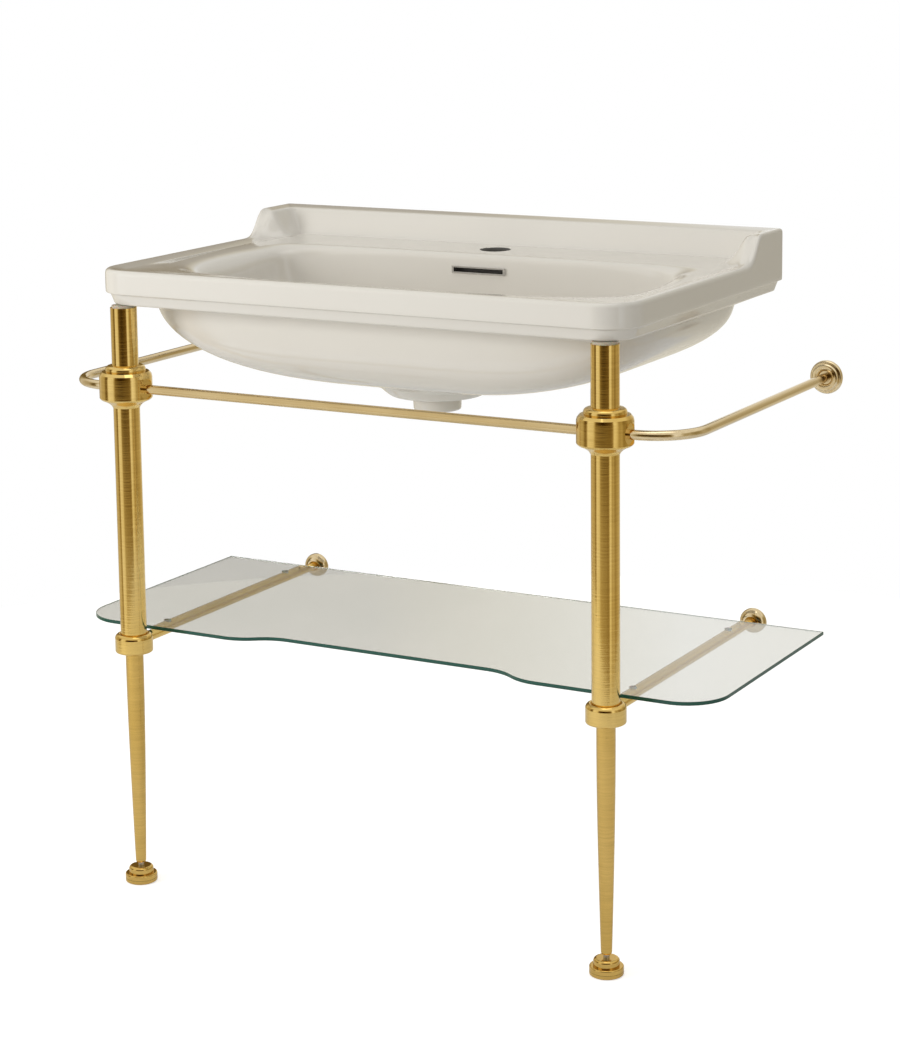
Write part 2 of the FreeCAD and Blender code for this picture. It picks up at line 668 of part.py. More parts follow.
def shelf_flange(side):
    """A domed rosette over the arm's wall socket."""
    return turned_on_wall((15, 0), [
        (SHELF_FLANGE_R, 0),
        (SHELF_FLANGE_R, 3),
        ((16.6, 8.6), (11, 11.5)),
        (9.5, 11.5),
        (ARM_R + FIT_GAP, 10),
        (ARM_R + FIT_GAP, SOCKET_PLATE + 0.5),
        (15, SOCKET_PLATE + 0.5),
    ], side * LEG_X, SHELF_ARM_Z)


def shelf_bumpers():
    """Four clear discs that the glass rests on, two on each arm."""
    discs = []
    for _, side in SIDES:
        for y in (GLASS_FRONT_Y + 40, GLASS_BACK_Y - 40):
            base = Vector(side * LEG_X, y, SHELF_ARM_Z)
            disc = rod(5, base, UP, ARM_R + BUMPER_THICKNESS)
            arm = rod(ARM_R, base - TO_WALL * 10, TO_WALL, 20)
            discs.append(disc.cut(arm))
    return Part.makeCompound(discs)


def glass_shelf():
    """The glass: square at the wall, round at the front, set back in the middle."""
    half = GLASS_WIDTH / 2
    across = SWEEP_OUTER_X - SWEEP_INNER_X
    along = GLASS_MIDDLE_FRONT_Y - GLASS_FRONT_Y
    sweep_r = (across ** 2 + along ** 2) / (4 * along)
    sweep_angle = math.asin(across / 2 / sweep_r) / 2
    shift = sweep_r * math.sin(sweep_angle)
    rise = sweep_r * (1 - math.cos(sweep_angle))
    middle_x = (SWEEP_INNER_X + SWEEP_OUTER_X) / 2
    middle_y = (GLASS_FRONT_Y + GLASS_MIDDLE_FRONT_Y) / 2
    corner = GLASS_CORNER_R * (1 - math.sqrt(0.5))
    edges = [Part.makeLine(Vector(-half, GLASS_BACK_Y, GLASS_Z), Vector(half, GLASS_BACK_Y, GLASS_Z)),
             Part.makeLine(Vector(-SWEEP_INNER_X, GLASS_MIDDLE_FRONT_Y, GLASS_Z),
                           Vector(SWEEP_INNER_X, GLASS_MIDDLE_FRONT_Y, GLASS_Z))]
    for _, side in SIDES:
        back = Vector(side * half, GLASS_BACK_Y, GLASS_Z)
        corner_back = Vector(side * half, GLASS_FRONT_Y + GLASS_CORNER_R, GLASS_Z)
        corner_middle = Vector(side * (half - corner), GLASS_FRONT_Y + corner, GLASS_Z)
        corner_front = Vector(side * (half - GLASS_CORNER_R), GLASS_FRONT_Y, GLASS_Z)
        sweep_out = Vector(side * SWEEP_OUTER_X, GLASS_FRONT_Y, GLASS_Z)
        sweep_out_arc = Vector(side * (SWEEP_OUTER_X - shift), GLASS_FRONT_Y + rise, GLASS_Z)
        sweep_middle = Vector(side * middle_x, middle_y, GLASS_Z)
        sweep_in_arc = Vector(side * (SWEEP_INNER_X + shift), GLASS_MIDDLE_FRONT_Y - rise, GLASS_Z)
        sweep_in = Vector(side * SWEEP_INNER_X, GLASS_MIDDLE_FRONT_Y, GLASS_Z)
        edges += [
            Part.makeLine(back, corner_back),
            Part.Arc(corner_back, corner_middle, corner_front).toShape(),
            Part.makeLine(corner_front, sweep_out),
            Part.Arc(sweep_out, sweep_out_arc, sweep_middle).toShape(),
            Part.Arc(sweep_middle, sweep_in_arc, sweep_in).toShape(),
        ]
    face = Part.Face(Part.Wire(Part.__sortEdges__(edges)))
    glass = face.extrude(Vector(0, 0, GLASS_THICKNESS))
    flat_edges = [edge for edge in glass.Edges if edge.BoundBox.ZLength < 0.01]
    return glass.makeChamfer(0.5, flat_edges)


def grub_screws():
    """Short screws that hold the rail ends in the drums, two to a drum."""
    screws = []
    for _, side in SIDES:
        for step in (-GRUB_OUT, GRUB_OUT):
            top_z = RAIL_Z - RAIL_R - FIT_GAP
            screws.append(rod(GRUB_R, Vector(side * LEG_X + step, LEG_Y, top_z), -UP, 6))
    return Part.makeCompound(screws)


# ---------------------------------------------------------------- all pieces

def main():
    os.makedirs("parts", exist_ok=True)
    save("basin", basin())
    save("overflow_trim", overflow_trim())
    save("front_rail", front_rail())
    save("glass_shelf", glass_shelf())
    save("shelf_bumpers", shelf_bumpers())
    save("grub_screws", grub_screws())
    for name, side in SIDES:
        x = side * LEG_X
        save("leg_pad_" + name, leg_pad(x))
        save("leg_insert_" + name, leg_insert(x))
        save("upper_tube_" + name, leg_tube(x, RAIL_Z + DRUM_CORE, TUBE_TOP_Z))
        save("rail_drum_" + name, rail_drum(x))
        save("middle_tube_" + name, leg_tube(x, COLLAR_FLOOR_Z, RAIL_Z - DRUM_CORE))
        save("shelf_collar_" + name, shelf_collar(x))
        save("tapered_leg_" + name, tapered_leg(x))
        save("foot_stud_" + name, foot_stud(x))
        save("foot_disc_" + name, foot_disc(x))
        save("foot_base_" + name, foot_base(x))
        save("foot_pad_" + name, foot_pad(x))
        save("side_rail_" + name, side_rail(side))
        save("rail_flange_" + name, rail_flange(side))
        save("rail_socket_" + name,
             wall_socket(side * RAIL_SIDE_X, RAIL_Z, 16, RAIL_R - RAIL_WALL - FIT_GAP))
        save("shelf_arm_" + name, shelf_arm(side))
        save("arm_stud_" + name, arm_stud(side))
        save("shelf_flange_" + name, shelf_flange(side))
        save("shelf_socket_" + name, wall_socket(x, SHELF_ARM_Z, 14, 6 - FIT_GAP))


main()
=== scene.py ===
"""Looks of the console sink: glazed ceramic basin, brass legs and rails, and a glass shelf.

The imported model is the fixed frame. Lengths are in metres, except in the basin's own section,
which works in millimetres as the model's source does. +X is the viewer's right, +Z is up, and
the wall is behind the basin.
"""
import math

import bmesh
import bpy
import numpy as np
from mathutils import Matrix, Vector


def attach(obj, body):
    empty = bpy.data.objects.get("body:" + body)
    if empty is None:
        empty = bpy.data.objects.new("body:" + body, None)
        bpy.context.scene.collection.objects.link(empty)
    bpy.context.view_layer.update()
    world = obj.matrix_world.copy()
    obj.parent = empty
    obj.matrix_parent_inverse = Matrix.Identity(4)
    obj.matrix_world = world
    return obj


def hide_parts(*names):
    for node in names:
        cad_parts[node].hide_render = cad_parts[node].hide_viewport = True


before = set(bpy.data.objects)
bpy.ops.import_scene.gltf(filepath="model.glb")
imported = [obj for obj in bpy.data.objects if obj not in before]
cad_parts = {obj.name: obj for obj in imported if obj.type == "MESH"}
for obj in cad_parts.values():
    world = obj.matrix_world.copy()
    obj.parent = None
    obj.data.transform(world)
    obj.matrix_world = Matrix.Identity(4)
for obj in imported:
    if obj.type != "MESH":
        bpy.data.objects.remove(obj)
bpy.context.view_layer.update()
scene = bpy.context.scene
SIDES = (("left", -1), ("right", 1))


# ---------------------------------------------------------------- camera

CAMERA_PLACE = Vector((1.74294, -3.09484, 1.33702))
CAMERA_AZIMUTH = math.radians(29.096)
CAMERA_PITCH = math.radians(9.246)
CAMERA_ROLL = math.radians(-0.684)
CAMERA_SHIFT_Y = -0.18
FOCAL_PIXELS = 2638.7
FRAME_HEIGHT = 1064     # of the picture, in the same pixels
SENSOR = 36             # millimetres


def make_camera():
    level = Vector((-math.sin(CAMERA_AZIMUTH), math.cos(CAMERA_AZIMUTH), 0))
    right = Vector((math.cos(CAMERA_AZIMUTH), math.sin(CAMERA_AZIMUTH), 0))
    forward = level * math.cos(CAMERA_PITCH) - Vector((0, 0, math.sin(CAMERA_PITCH)))
    up = right.cross(forward)
    across = math.cos(CAMERA_ROLL) * right + math.sin(CAMERA_ROLL) * up
    upward = -math.sin(CAMERA_ROLL) * right + math.cos(CAMERA_ROLL) * up
    data = bpy.data.cameras.new("camera")
    data.sensor_width = SENSOR
    data.lens = FOCAL_PIXELS * SENSOR / FRAME_HEIGHT
    data.shift_y = CAMERA_SHIFT_Y
    data.clip_end = 100
    camera = bpy.data.objects.new("camera", data)
    turn = Matrix((across, upward, -forward)).transposed().to_4x4()
    camera.matrix_world = Matrix.Translation(CAMERA_PLACE) @ turn
    scene.collection.objects.link(camera)
    scene.camera = camera


# ---------------------------------------------------------------- materials

def new_material(name):
    material = bpy.data.materials.new(name)
    material.use_nodes = True
    tree = material.node_tree
    return material, tree, tree.nodes["Principled BSDF"]


def add(tree, kind, settings=None, **inputs):
    """A new node. settings are its properties, and inputs its sockets, with _ for a space."""
    node = tree.nodes.new(kind)
    for key, value in (settings or {}).items():
        setattr(node, key, value)
    for key, value in inputs.items():
        socket = node.inputs[key.replace("_", " ")]
        if isinstance(value, bpy.types.NodeSocket):
            tree.links.new(value, socket)
        else:
            socket.default_value = value
    return node


def object_noise(tree, stretch, detail=3.0):
    """Noise in the object's own metres; stretch is how many features there are to a metre."""
    place = add(tree, "ShaderNodeTexCoord").outputs["Object"]
    mapped = add(tree, "ShaderNodeMapping", Vector=place, Scale=stretch).outputs["Vector"]
    noise = add(tree, "ShaderNodeTexNoise", Vector=mapped, Scale=1.0, Detail=detail)
    return noise.outputs["Fac"]


def remap(tree, value, low, high, to_low, to_high):
    """The value, moved from the range low to high into the range to_low to to_high."""
    node = add(tree, "ShaderNodeMapRange", Value=value, From_Min=low, From_Max=high,
               To_Min=to_low, To_Max=to_high)
    return node.outputs["Result"]


# The Mix node has sockets of one name for each kind of data. These are its colours' places.
MIX_FIRST = 6
MIX_SECOND = 7
MIX_RESULT = 2


def mix_colour(tree, factor, first, second):
    """The first colour where factor is 0, and the second where it is 1."""
    node = add(tree, "ShaderNodeMix", {"data_type": "RGBA"}, Factor=factor)
    for place, colour in ((MIX_FIRST, first), (MIX_SECOND, second)):
        if isinstance(colour, bpy.types.NodeSocket):
            tree.links.new(colour, node.inputs[place])
        else:
            node.inputs[place].default_value = (*colour, 1)
    return node.outputs[MIX_RESULT]


def bump(tree, height, strength, distance, under=None):
    """A bumped normal, laid over the normal under it where one is given."""
    node = add(tree, "ShaderNodeBump", Height=height, Strength=strength, Distance=distance)
    if under is not None:
        tree.links.new(under, node.inputs["Normal"])
    return node.outputs["Normal"]


def glaze():
    """White glazed ceramic: warm, glossy, and slightly uneven where the glaze ran."""
    material, tree, shader = new_material("glaze")
    drift = object_noise(tree, (5, 5, 7))
    colour = mix_colour(tree, drift, (0.805, 0.778, 0.722), (0.765, 0.733, 0.672))
    tree.links.new(colour, shader.inputs["Base Color"])
    run = object_noise(tree, (26, 26, 16), 1.0)
    grain = object_noise(tree, (420, 420, 420), 2.0)
    tree.links.new(remap(tree, grain, 0.3, 0.7, 0.07, 0.13), shader.inputs["Roughness"])
    wave = bump(tree, run, 0.35, 0.0008)
    tree.links.new(bump(tree, grain, 0.08, 0.0001, wave), shader.inputs["Normal"])
    shader.inputs["IOR"].default_value = 1.52
    shader.inputs["Coat Weight"].default_value = 0.35
    shader.inputs["Coat Roughness"].default_value = 0.04
    return material


TARNISH = (0.30, 0.17, 0.04)


def brass(name, light, dark, stretch, roughness, depth):
    """Polished brass. stretch turns its fine marks along or across the piece."""
    material, tree, shader = new_material(name)
    shader.inputs["Metallic"].default_value = 1.0
    cloud = object_noise(tree, (9, 9, 6), 4.0)
    marks = object_noise(tree, stretch, 2.0)
    tone = mix_colour(tree, remap(tree, cloud, 0.3, 0.7, 0, 1), light, dark)
    tone = mix_colour(tree, remap(tree, marks, 0.25, 0.75, 0.25, 0), tone, TARNISH)
    tree.links.new(tone, shader.inputs["Base Color"])
    rough = remap(tree, marks, 0.25, 0.75, roughness * 0.8, roughness * 1.3)
    tree.links.new(rough, shader.inputs["Roughness"])
    tree.links.new(bump(tree, marks, 0.5, depth), shader.inputs["Normal"])
    return material


def plain_metal(name, colour, roughness):
    """Plated or zinc-coated steel with a faint mottle."""
    material, tree, shader = new_material(name)
    shader.inputs["Metallic"].default_value = 1.0
    mottle = object_noise(tree, (160, 160, 160))
    tone = mix_colour(tree, mottle, colour, [0.8 * c for c in colour])
    tree.links.new(tone, shader.inputs["Base Color"])
    rough = remap(tree, mottle, 0.3, 0.7, roughness, roughness * 1.6)
    tree.links.new(rough, shader.inputs["Roughness"])
    return material


def rubber():
    material, tree, shader = new_material("pad_rubber")
    mottle = object_noise(tree, (700, 700, 700))
    tone = mix_colour(tree, mottle, (0.05, 0.05, 0.05), (0.09, 0.09, 0.085))
    tree.links.new(tone, shader.inputs["Base Color"])
    shader.inputs["Roughness"].default_value = 0.6
    tree.links.new(bump(tree, mottle, 0.3, 0.0001), shader.inputs["Normal"])
    return material


def soft_plastic(name, light, dark):
    """Soft plastic in the given tones, between leg and basin and between glass and arm. Between
    glass and arm it is milky; the pad between leg and basin gets darker tones, painted as the shade
    under the basin.
    """
    material, tree, shader = new_material(name)
    mottle = object_noise(tree, (300, 300, 300))
    tone = mix_colour(tree, mottle, light, dark)
    tree.links.new(tone, shader.inputs["Base Color"])
    shader.inputs["Subsurface Weight"].default_value = 0.4
    shader.inputs["Subsurface Scale"].default_value = 0.003
    shader.inputs["Roughness"].default_value = 0.3
    return material


def float_glass():
    """Clear float glass: its faces are pale, and its edges are the green of its depth."""
    material, tree, shader = new_material("float_glass")
    normal = add(tree, "ShaderNodeNewGeometry").outputs["Normal"]
    upright = add(tree, "ShaderNodeSeparateXYZ", Vector=normal).outputs["Z"]
    flat = add(tree, "ShaderNodeMath", {"operation": "ABSOLUTE"})
    tree.links.new(upright, flat.inputs[0])
    face = remap(tree, flat.outputs[0], 0.75, 0.95, 0, 1)
    smear = object_noise(tree, (3, 3, 3))
    pale = mix_colour(tree, smear, (0.72, 0.715, 0.68), (0.62, 0.63, 0.60))
    green = (0.008, 0.115, 0.08)
    tree.links.new(mix_colour(tree, face, green, pale), shader.inputs["Base Color"])
    tree.links.new(remap(tree, face, 0, 1, 0.35, 1), shader.inputs["Transmission Weight"])
    tree.links.new(remap(tree, face, 0, 1, 0.12, 0.01), shader.inputs["Roughness"])
    shader.inputs["IOR"].default_value = 1.5
    return material


# ---------------------------------------------------------------- ceramic basin, in millimetres

MM_PER_M = 1000         # Blender works in metres
HALF_WIDTH = 400.0
FRONT_Y = -242.0
WALL_Y = 258.0
RIM_Z = 865.0
RIM_ROUND_R = 6.0
RISE = 39.0             # height of the upstand and its returns above the rim
APRON_Z = 816.0         # underside of the apron
UNDERSIDE_INSET = 14.5  # the flat underside ends this far behind the fascia
TIER_Z = 832.0          # groove between the fascia and the lower tier
CORNER_R = 50.0         # front corners in plan
LEAST_CORNER_R = 20.0   # and of the smallest ring inside them
SIDE_BAND = 30.0        # width of the rim's sides that lean to the returns
RETURN_TIP_Y = WALL_Y - 134.0   # the side returns start to rise here
RETURN_TOP_Y = WALL_Y - 76.0    # and are at full height from here to the wall
RETURN_TOP = 22.0       # thickness of a return at its top
RETURN_FOOT = 52.0      # and where it meets the deck
UPSTAND_TOP = 25.0
UPSTAND_FOOT = 48.0

LIP_R = 8.0             # rolled edge at the front and back of the bowl
SIDE_LIP = 56.0         # width of the softer edge at its sides
SIDE_DROP = 28.0        # and the height of that edge
BOWL_HALF_WIDTH = 316.0
BOWL_FRONT_Y = -172.0
BOWL_BACK_Y = 123.0
BOWL_EDGE_FRONT_Z = 857.0   # the deck has come down to this at the bowl's front edge
BOWL_EDGE_BACK_Z = 863.0    # and to this at its back edge
BOWL_FLOOR_Z = 709.0
BOWL_POWER = 4.2        # how square the bowl is in plan at its front
BOWL_BACK_POWER = 8     # and at its back
BOWL_FALL_POWER = 0.83  # how the bowl falls with its angle
BOWL_WIDTH_POWER = 0.96     # and how it narrows

SHELL_HALF_WIDTH = 383.0
SHELL_FRONT_Y = -185.0
SHELL_BACK_Y = 214.0
SHELL_FLOOR_Z = 700.0
SHELL_POWER = 5.5
SHELL_FALL_POWER = 0.95
SHELL_WIDTH_POWER = 1.04

TAP_Y = 174.0
TAP_HOLE_R = 17.5
TAP_LIP_R = 5.5
OUTLET_R = 23.0
BOSS_R = 33.0
BOSS_Z = 664.5
PAD_R = 64.0            # the wide foot round the boss, at its lower face
PAD_TOP_R = 86.0        # and where it runs out into the shell
PAD_Z = 685.0

OVERFLOW_Z = 840.0
OVERFLOW_HALF_WIDTH = 40.0
OVERFLOW_HALF_HEIGHT = 4.0
SLOT_FRONT_Y = 108.0
SLOT_BACK_Y = 136.0
# The ribs behind and under the bowl, each by two opposite corners. The overflow's duct, which
# runs hidden in them, is left out here.
BACK_RIB = ((-48, 134, 755), (48, 149, 850))
RUN_RIB = ((-24, 16, 686), (24, 149, 712))
RIB_EDGE_R = 5.0
TAP_BAY_HALF_WIDTH = 250.0
TAP_BAY_FRONT_Y = 146.0
TAP_BAY_FLOOR_Z = 762.0
TAP_BAY_BACK_Y = 300.0  # open to the wall
TAP_BAY_TOP_Z = 843.0
WALL_BOLT_X = 330.0
WALL_BOLT_Z = 838.0
WALL_BOLT_HOLE_R = 7.0
POCKET_HALF_WIDTH = 30.0
POCKET_FRONT_Y = 206.0
POCKET_BACK_Y = 240.0
POCKET_LOW_Z = 700.0    # open below
POCKET_TOP_Z = 854.0

# points of a ring: from the middle of the front to a corner, round the corner, along the
# side, and round the corner at the wall
FRONT_STEPS = 26
CORNER_STEPS = 10
SIDE_STEPS = 60
BACK_CORNER_STEPS = 5


def whole_ring(half):
    """The closed ring of which half is the right side, from the front middle to the back."""
    mirrored = half[-2:0:-1] * np.array([-1, 1])
    return np.concatenate([half, mirrored])


def plan_ring(side, front, back, corner, back_corner=2.0):
    """The basin's outline in plan, set in by side, front and back."""
    x_side = HALF_WIDTH - side
    y_front = FRONT_Y + front
    y_back = WALL_Y - back
    to_corner = np.linspace(0, 1, FRONT_STEPS, endpoint=False)
    turn = np.linspace(-math.pi / 2, 0, CORNER_STEPS, endpoint=False)
    along = np.linspace(0, 1, SIDE_STEPS, endpoint=False)
    back_turn = np.linspace(0, math.pi / 2, BACK_CORNER_STEPS, endpoint=False)
    y_start = y_front + corner
    y_end = y_back - back_corner
    x = np.concatenate([
        to_corner * (x_side - corner),
        x_side - corner + corner * np.cos(turn),
        np.full(SIDE_STEPS, x_side),
        x_side - back_corner + back_corner * np.cos(back_turn),
        (x_side - back_corner) * np.linspace(1, 0, FRONT_STEPS + 1),
    ])
    y = np.concatenate([
        np.full(FRONT_STEPS, y_front),
        y_front + corner + corner * np.sin(turn),
        y_start + along * (y_end - y_start),
        y_end + back_corner * np.sin(back_turn),
        np.full(FRONT_STEPS + 1, y_back),
    ])
    return whole_ring(np.stack([x, y], 1))


def directions():
    """Where each point of a ring lies round the middle, as the cosine and sine of its angle.

    They are those of a ring that runs over the deck, between the rim and the bowl.
    """
    ring = plan_ring(side=26, front=26, back=52, corner=34, back_corner=14)
    middle = (ring[:, 1].min() + ring[:, 1].max()) / 2
    across = ring[:, 0] / ring[:, 0].max()
    along = (ring[:, 1] - middle) / (ring[:, 1].max() - middle)
    size = np.hypot(across, along)
    return across / size, along / size


# For each point of a ring: its direction, the height of the bowl's lip, and where the lip starts.
ACROSS, ALONG = directions()
LIP_DROP = LIP_R + (SIDE_DROP - LIP_R) * np.abs(ACROSS) ** 4
EDGE_Z = BOWL_EDGE_FRONT_Z + (0.5 + 0.5 * ALONG) * (BOWL_EDGE_BACK_Z - BOWL_EDGE_FRONT_Z)


def oval_ring(half_width, front, back, front_power, back_power):
    """A superellipse, with squarer corners the higher its powers."""
    power = np.where(ALONG > 0, back_power, front_power)
    reach = (np.abs(ACROSS) ** power + np.abs(ALONG) ** power) ** (-1 / power)
    half_depth = (back - front) / 2
    x = half_width * reach * ACROSS
    y = (front + back) / 2 + half_depth * reach * ALONG
    return np.stack([x, y], 1)


def circle_ring(radius):
    return radius * np.stack([ACROSS, ALONG], 1)


def at_height(ring, z):
    """The ring with a height, which is one number or one for each point."""
    return np.column_stack([ring, np.broadcast_to(z, len(ring))])


def rise_share(y):
    """How far up the returns and the upstand have come at y, from 0 at the rim to 1."""
    t = np.clip((y - RETURN_TIP_Y) / (RETURN_TOP_Y - RETURN_TIP_Y), 0, 1) ** 2
    return t * t * (3 - 2 * t)


def rim_ring(inset, wall_inset, back_inset, drop, share):
    """A ring of the rim. It lies drop below the rim, and share of the way up the upstand."""
    corner = max(CORNER_R - inset, LEAST_CORNER_R)
    flat = plan_ring(inset, inset, back_inset, corner, 2 + back_inset / 4)
    up = rise_share(flat[:, 1])
    side = inset + (wall_inset - inset) * up
    band_start = HALF_WIDTH - inset - SIDE_BAND
    on_side = np.clip((np.abs(flat[:, 0]) - band_start) / SIDE_BAND, 0, 1)
    x = flat[:, 0] + np.sign(flat[:, 0]) * on_side * (inset - side)
    ring = np.stack([x, flat[:, 1]], 1)
    return at_height(ring, RIM_Z - drop * (1 - up) + RISE * share * up)


def reach_share(fall):
    """What is left of the bowl's depth, front to back, after a fall from 0 to 1 of its height."""
    return (1 - fall ** 4.7) ** 0.43


def shell_ring(degrees):
    """The outside of the bowl: 0 is under the apron and 90 is its lowest point."""
    angle = math.radians(degrees)
    fall = math.sin(angle) ** SHELL_FALL_POWER
    width = SHELL_HALF_WIDTH * math.cos(angle) ** SHELL_WIDTH_POWER
    middle = (SHELL_FRONT_Y + SHELL_BACK_Y) / 2
    reach = (SHELL_BACK_Y - SHELL_FRONT_Y) / 2 * reach_share(fall)
    ring = oval_ring(width, middle - reach, middle + reach, SHELL_POWER, SHELL_POWER)
    return at_height(ring, APRON_Z - fall * (APRON_Z - SHELL_FLOOR_Z))


def bowl_ring(degrees):
    """The inside of the bowl, in the same way."""
    angle = math.radians(degrees)
    fall = math.sin(angle) ** BOWL_FALL_POWER
    width = BOWL_HALF_WIDTH * math.cos(angle) ** BOWL_WIDTH_POWER
    reach = (BOWL_BACK_Y - BOWL_FRONT_Y) / 2 * reach_share(fall)
    middle = (BOWL_FRONT_Y + BOWL_BACK_Y) / 2 * (1 - fall ** 2)
    back_power = BOWL_BACK_POWER - 3 * fall
    ring = oval_ring(width, middle - reach, middle + reach, BOWL_POWER, back_power)
    top = EDGE_Z - LIP_DROP
    return at_height(ring, top - fall * (top - BOWL_FLOOR_Z))


def lip_ring(degrees):
    """The rolled edge of the bowl: 0 is its outer edge on the deck and 90 its inside."""
    angle = math.radians(degrees)
    out = 1 - math.sin(angle)
    ring = oval_ring(BOWL_HALF_WIDTH + SIDE_LIP * out, BOWL_FRONT_Y - LIP_R * out,
                     BOWL_BACK_Y + LIP_R * out, BOWL_POWER, BOWL_BACK_POWER)
    return at_height(ring, EDGE_Z - LIP_DROP * (1 - math.cos(angle)))


# The upstand from its back to its foot, as (way forward, height above the rim as a share of
# RISE). The way is 0 at its back, 1 at the front edge of its top and 2 at its foot. Its top
# leans forward a little, and its face runs out into the deck in a cove.
UPSTAND_PROFILE = (
    (0.45, 0.97), (0.8, 0.94), (0.93, 0.92), (1.0, 0.9), (1.05, 0.865), (1.12, 0.8), (1.26, 0.66),
    (1.42, 0.48), (1.58, 0.3), (1.72, 0.165), (1.84, 0.075), (1.94, 0.025), (2.0, 0.004), (2.0, 0),
)
UPSTAND_WAY = (0, 1, 2)
# The rounded edges on top of the returns and the upstand, as shares of the rim's.
RETURN_ROUND = 0.75
UPSTAND_ROUND = 0.5
# The fascia below the rim's rounding, as (drop below the rim, share of the way up the upstand).
FASCIA_PROFILE = ((20, 0.1), (9, 0.7))
RIM_ROUND_DEGREES = (0, 25, 50, 72, 90)
RIM_FALL = 3.5          # the rim falls this much
RIM_FALL_START = 7      # from here, measured in from its edge,
RIM_FALL_END = 28       # to here
RIM_FALL_POWER = 1.3
FIRST_RIM_INSET = 8.5   # of the first ring inside the rounding
# The rings of the deck, as shares of the way from the rim to the bowl.
DECK_SHARES = (0.2, 0.4, 0.6, 0.8, 0.93)

# The outlet's boss and the wide foot round it, as (radius, height), from the hole outwards.
BOSS_PROFILE = (
    (OUTLET_R, 690), (OUTLET_R, BOSS_Z + 2), (OUTLET_R + 0.6, BOSS_Z + 0.5),
    (OUTLET_R + 2, BOSS_Z), (BOSS_R - 2.5, BOSS_Z), (BOSS_R - 0.7, BOSS_Z + 0.7),
    (BOSS_R, BOSS_Z + 2.5), (BOSS_R, PAD_Z - 3), (BOSS_R + 0.8, PAD_Z - 0.8),
    (BOSS_R + 3, PAD_Z), (PAD_R - 4, PAD_Z), (PAD_R, PAD_Z + 0.9), (PAD_R + 4, PAD_Z + 3.6),
    (PAD_R + 11, PAD_Z + 9.5), (PAD_R + 16, PAD_Z + 14), (PAD_TOP_R, SHELL_FLOOR_Z + 2.4),
)
# How the apron's underside leaves the bowl, as (share of the way out, rise), and where on the
# shell it does so.
APRON_COVE = ((0.04, 1.2), (0.14, 2.2), (0.4, 2.4), (0.8, 2.4))
APRON_ROOT_DEGREES = 1.5
# The lower tier and the groove under the fascia, as (way in from the fascia, height).
TIER_PROFILE = (
    (12.2, APRON_Z + 0.7), (11, APRON_Z + 2.6), (10.3, APRON_Z + 5.5),
    (6.7, TIER_Z - 2), (6.0, TIER_Z - 0.6), (4.6, TIER_Z), (1.8, TIER_Z + 0.1),
    (0.5, TIER_Z + 0.8), (0, TIER_Z + 2.4),
)
# The seat of the waste in the bowl's floor, as (radius, height), down into the outlet.
SEAT_PROFILE = (
    (39, 709.6), (34, 709.1), (31, 708.2), (28.5, 705), (26, 703.6), (24, 702.4), (OUTLET_R, 700),
)
# Where the rings of the bowl lie, in degrees of its shell, its lip and its inside.
SHELL_DEGREES = (73, 68, 61, 54, 47, 40, 33, 26, 19, 13, 8, 4)
LIP_DEGREES = (0, 16, 34, 52, 70)
BOWL_DEGREES = (1, 4, 9, 15, 22, 29, 36, 43, 50, 57, 64, 70, 76, 81)


def between(first, second, share):
    return first + share * (second - first)


def circle_rings(profile):
    return [at_height(circle_ring(radius), z) for radius, z in profile]


def apron_rings():
    """The flat underside of the apron, the lower tier and the groove under the fascia."""
    root = shell_ring(APRON_ROOT_DEGREES)
    corner = CORNER_R - UNDERSIDE_INSET
    under = at_height(plan_ring(UNDERSIDE_INSET, UNDERSIDE_INSET, 1, corner), APRON_Z)
    rings = []
    for share, rise in APRON_COVE:
        ring = between(root, under, share)
        ring[:, 2] = root[0, 2] + min(rise, APRON_Z - root[0, 2])
        rings.append(ring)
    rings.append(under)
    for inset, z in TIER_PROFILE:
        rings.append(at_height(plan_ring(inset, inset, 0, CORNER_R - inset), z))
    return rings


def rim_rings():
    """The fascia and the rounded rim, and the upstand with its returns down to their foot."""
    rings = [rim_ring(0, 0, 0, drop, share) for drop, share in FASCIA_PROFILE]
    for degrees in RIM_ROUND_DEGREES:
        angle = math.radians(degrees)
        inset = RIM_ROUND_R * (1 - math.cos(angle))
        drop = RIM_ROUND_R * (1 - math.sin(angle))
        rings.append(rim_ring(inset, RETURN_ROUND * inset, UPSTAND_ROUND * inset, drop,
                              1 - RETURN_ROUND * drop / RISE))

    insets = np.linspace(FIRST_RIM_INSET, RIM_FALL_END, len(UPSTAND_PROFILE))
    for inset, (way, share) in zip(insets, UPSTAND_PROFILE):
        wall_inset = np.interp(way, UPSTAND_WAY, (0, RETURN_TOP, RETURN_FOOT))
        back_inset = np.interp(way, UPSTAND_WAY, (0, UPSTAND_TOP, UPSTAND_FOOT))
        fallen = (inset - RIM_FALL_START) / (RIM_FALL_END - RIM_FALL_START)
        drop = RIM_FALL * fallen ** RIM_FALL_POWER
        rings.append(rim_ring(inset, wall_inset, back_inset, drop, share))
    return rings


def basin_rings():
    """All rings, from the outlet down its boss, up the outside, over the rim and into the bowl."""
    rings = circle_rings(BOSS_PROFILE)
    rings += [shell_ring(degrees) for degrees in SHELL_DEGREES]
    rings += apron_rings()
    rings += rim_rings()
    foot = rings[-1]
    edge = lip_ring(0)
    rings += [between(foot, edge, share) for share in DECK_SHARES]
    rings += [lip_ring(degrees) for degrees in LIP_DEGREES]
    rings += [bowl_ring(degrees) for degrees in BOWL_DEGREES]
    rings += circle_rings(SEAT_PROFILE)
    return rings


def linked_object(name, mesh):
    obj = bpy.data.objects.new(name, mesh)
    scene.collection.objects.link(obj)
    return obj


def mesh_object(name, points, faces):
    mesh = bpy.data.meshes.new(name)
    mesh.from_pydata([tuple(p) for p in points], [], faces)
    mesh.validate()
    return linked_object(name, mesh)


def worked_object(name, work):
    """A new object with the finished mesh of a bmesh."""
    mesh = bpy.data.meshes.new(name)
    work.to_mesh(mesh)
    work.free()
    return linked_object(name, mesh)


